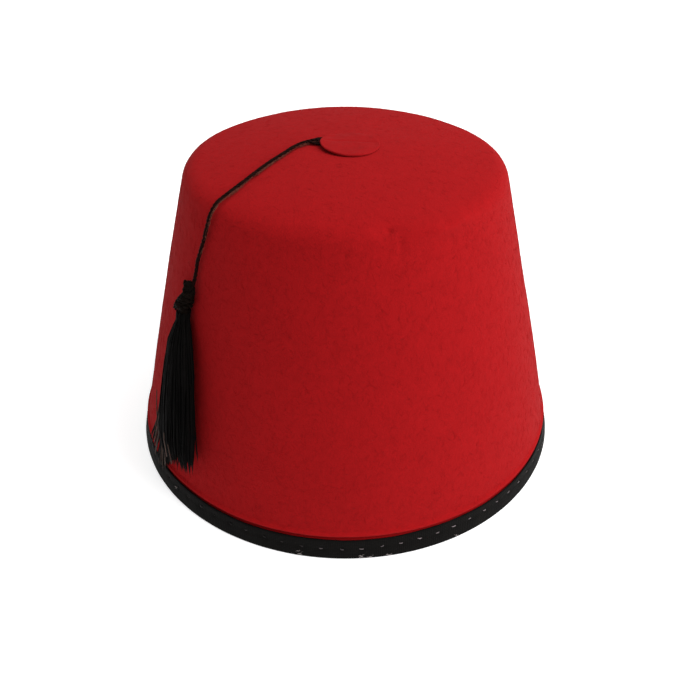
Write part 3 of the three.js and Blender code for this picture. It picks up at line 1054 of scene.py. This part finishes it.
def ridges(tree, value, width):
    """Thin curled lines, where a noise value passes its middle."""
    away = maths(tree, "ABSOLUTE", maths(tree, "SUBTRACT", value, 0.5))
    inputs = {"Value": away, "From Min": 0.0, "From Max": width, "To Min": 1.0, "To Max": 0.0}
    return add_node(tree, "ShaderNodeMapRange", inputs)


def weighed(tree, layers, base):
    """base plus each layer times its weight, each layer measured from its own middle."""
    total = base - sum(weight * middle for value, weight, middle in layers)
    for value, weight, middle in layers:
        total = maths(tree, "MULTIPLY_ADD", value, weight, total)
    return total


def bumped(tree, shader, height, distance):
    bump = add_node(tree, "ShaderNodeBump", {"Height": height, "Distance": distance})
    tree.links.new(bump, shader.inputs["Normal"])


def shaded(tree, shader, colour, brightness):
    """The shader's colour, brighter and darker by a value about 1."""
    tone = add_node(tree, "ShaderNodeHueSaturation", {"Color": colour, "Value": brightness})
    tree.links.new(tone, shader.inputs["Base Color"])


def blended(tree, shader, amount, dark, light):
    """The shader's colour, between two colours."""
    blend = add_node(tree, "ShaderNodeMix", {0: amount, 6: dark, 7: light}, 2, data_type="RGBA")
    tree.links.new(blend, shader.inputs["Base Color"])


def felt_material(name, colour):
    """Pressed felt: blotches, curled fibres lighter and darker than the rest, and grain."""
    material, tree, shader = start_material(name, 0.92, RED_SPECULAR, RED_SHEEN)
    place = own_place(tree)
    curled = warped(tree, place, 0.004, 0.0042)
    tousled = warped(tree, place, 0.0018, 0.0016)
    blotch = noise_at(tree, curled, 0.016, 3.0)
    mottle = noise_at(tree, tousled, 0.0034, 3.0, 0.6)
    light = ridges(tree, noise_at(tree, curled, 0.0021, 1.0), 0.045)
    lean = stretched(tree, tousled, (1.0, 1.0, 0.45), (0.0, 0.4, 0.3))
    dark = ridges(tree, noise_at(tree, lean, 0.0016, 1.0), 0.04)
    grain = noise_at(tree, place, 0.00045)
    colours = [(blotch, 0.5, 0.5), (mottle, 0.9, 0.5), (light, 0.24, 0.2), (dark, -0.16, 0.2),
               (grain, 0.12, 0.5)]
    colours = [(value, weight * FELT_CONTRAST, middle) for value, weight, middle in colours]
    shaded(tree, shader, colour, weighed(tree, colours, 1.0))
    relief = [(mottle, 1.2, 0.5), (light, 0.35, 0.2), (dark, -0.3, 0.2), (grain, 0.55, 0.5)]
    bumped(tree, shader, weighed(tree, relief, 0.5), 0.0001)
    return material


def tape_material():
    """Woven tape: warp and weft in relief, rubbed lighter here and there, with dust."""
    material, tree, shader = start_material("woven_tape", 0.75, 0.07)
    place = own_place(tree)
    flat = add_node(tree, "ShaderNodeUVMap", uv_map="surface")
    weave = []
    for direction, pitch in TAPE_PITCH.items():
        inputs = {"Vector": flat, "Scale": 1 / pitch / 20 * math.pi, "Distortion": 0.6,
                  "Detail": 1.0}
        weave.append(add_node(tree, "ShaderNodeTexWave", inputs, "Fac", bands_direction=direction))
    rubbed = noise_at(tree, place, 0.006, 4.0, 0.65)
    dust = noise_at(tree, place, 0.0011)
    inputs = {"Value": dust, "From Min": 0.66, "From Max": 0.74}
    specks = add_node(tree, "ShaderNodeMapRange", inputs)
    layers = [(weave[0], 0.35, 0.5), (weave[1], 0.3, 0.5), (rubbed, 1.1, 0.5), (specks, 2.2, 0.0)]
    shaded(tree, shader, TAPE_BLACK, weighed(tree, layers, 1.0))
    relief = [(weave[0], 0.5, 0.5), (weave[1], 0.5, 0.5), (rubbed, 0.8, 0.5)]
    bumped(tree, shader, weighed(tree, relief, 0.5), 0.00012)
    return material


def yarn_material(name, dark, light, roughness, streak):
    """Yarn whose colour runs between two shades by the strand, with fine lengthwise hairs."""
    material, tree, shader = start_material(name, roughness, 0.035)
    along = stretched(tree, own_place(tree), (1.0, 1.0, streak))
    hairs = noise_at(tree, along, 0.00022)
    pale_parts = noise_at(tree, along, 0.0021)
    layers = [(own_shade(tree), 0.45, 0.5), (hairs, 0.7, 0.5), (pale_parts, 0.9, 0.5)]
    blended(tree, shader, weighed(tree, layers, 0.45), dark, light)
    bumped(tree, shader, hairs, 0.00004)
    return material


def thread_material():
    """The seam's thread, greyish, some stitches darker than others: partly at random, partly by
    painted light that lightens the stitches on the hat's lit side.
    """
    material, tree, shader = start_material("seam_thread", 0.7, 0.15)
    fibre = noise_at(tree, own_place(tree), 0.0003)
    amount = weighed(tree, [(own_shade(tree), 1.0, 0.5), (fibre, 0.6, 0.5)], 0.35)
    blended(tree, shader, amount, *THREAD_GREYS)
    return material


def floor_material():
    """Pale, even paper with the faintest mottling."""
    glow = {"Emission Color": (1, 1, 1, 1), "Emission Strength": FLOOR_GLOW}
    material, tree, shader = start_material("pale_floor", 0.9, 0.1, glow)
    cloud = noise_at(tree, own_place(tree), 0.4)
    shaded(tree, shader, FLOOR_GREY, weighed(tree, [(cloud, 0.03, 0.5)], 1.0))
    return material


# ------------ stage


def aimed(data, place, target):
    """An object at a place, looking at a target."""
    thing = add_object(data.name, data)
    thing.location = place
    thing.rotation_mode = "QUATERNION"
    thing.rotation_quaternion = (Vector(target) - Vector(place)).to_track_quat("-Z", "Y")
    return thing


def make_camera():
    """The camera, looking at a point on the hat's axis."""
    data = bpy.data.cameras.new("camera")
    data.lens = VIEW_LENS
    data.sensor_width = 36
    data.shift_x = VIEW_SHIFT
    data.clip_start = 0.01
    back = Vector((0, -math.cos(VIEW_ELEVATION), math.sin(VIEW_ELEVATION)))
    target = Vector((0, 0, VIEW_HEIGHT))
    bpy.context.scene.camera = aimed(data, target + back * VIEW_DISTANCE, target)


def make_floor():
    mesh = bpy.data.meshes.new("floor")
    reach = FLOOR_REACH
    corners = [(-reach, -reach, 0), (reach, -reach, 0), (reach, reach, 0), (-reach, reach, 0)]
    mesh.from_pydata(corners, [], [(0, 1, 2, 3)])
    mesh.materials.append(floor_material())
    floor = add_object("floor", mesh)
    floor.location.z = -FLOOR_DROP


def make_lights():
    """Soft studio light, mostly from the right and above, in a pale room."""
    for name, (place, size, power) in LAMPS.items():
        data = bpy.data.lights.new(name, "AREA")
        data.shape = "DISK"
        data.size = size
        data.energy = power
        aimed(data, place, LAMP_AIM)
    world = bpy.data.worlds.new("room")
    world.use_nodes = True
    background = world.node_tree.nodes["Background"]
    background.inputs["Color"].default_value = (1, 1, 1, 1)
    background.inputs["Strength"].default_value = ROOM_LIGHT
    bpy.context.scene.world = world
    bpy.context.scene.view_settings.view_transform = "Standard"


# ------------ assembly

make_camera()

yarns = {name: yarn_material(name, *look) for name, look in YARNS.items()}
path = cord_path()
cord = make_cord(path, yarns["brown_yarn"])
fan = make_fan(yarns["brown_yarn"])
fuzz = make_fuzz(path, hair_material("cord_fuzz", FUZZ_BROWN))
knot = make_knot(yarns["cord_yarn"])
collar = make_collar(yarns["cord_yarn"])
fringe = make_fringe(yarns["fringe_yarn"])
pale_parts = make_pale_strands(yarns["pale_yarn"])

make_crown(felt_material("pressed_felt", FELT_RED))
make_nap()
make_disc(felt_material("disc_felt", DISC_RED))
make_tape(tape_material())
make_stitches(thread_material())
make_lint(hair_material("lint", LINT_GREY))
make_floor()
make_lights()
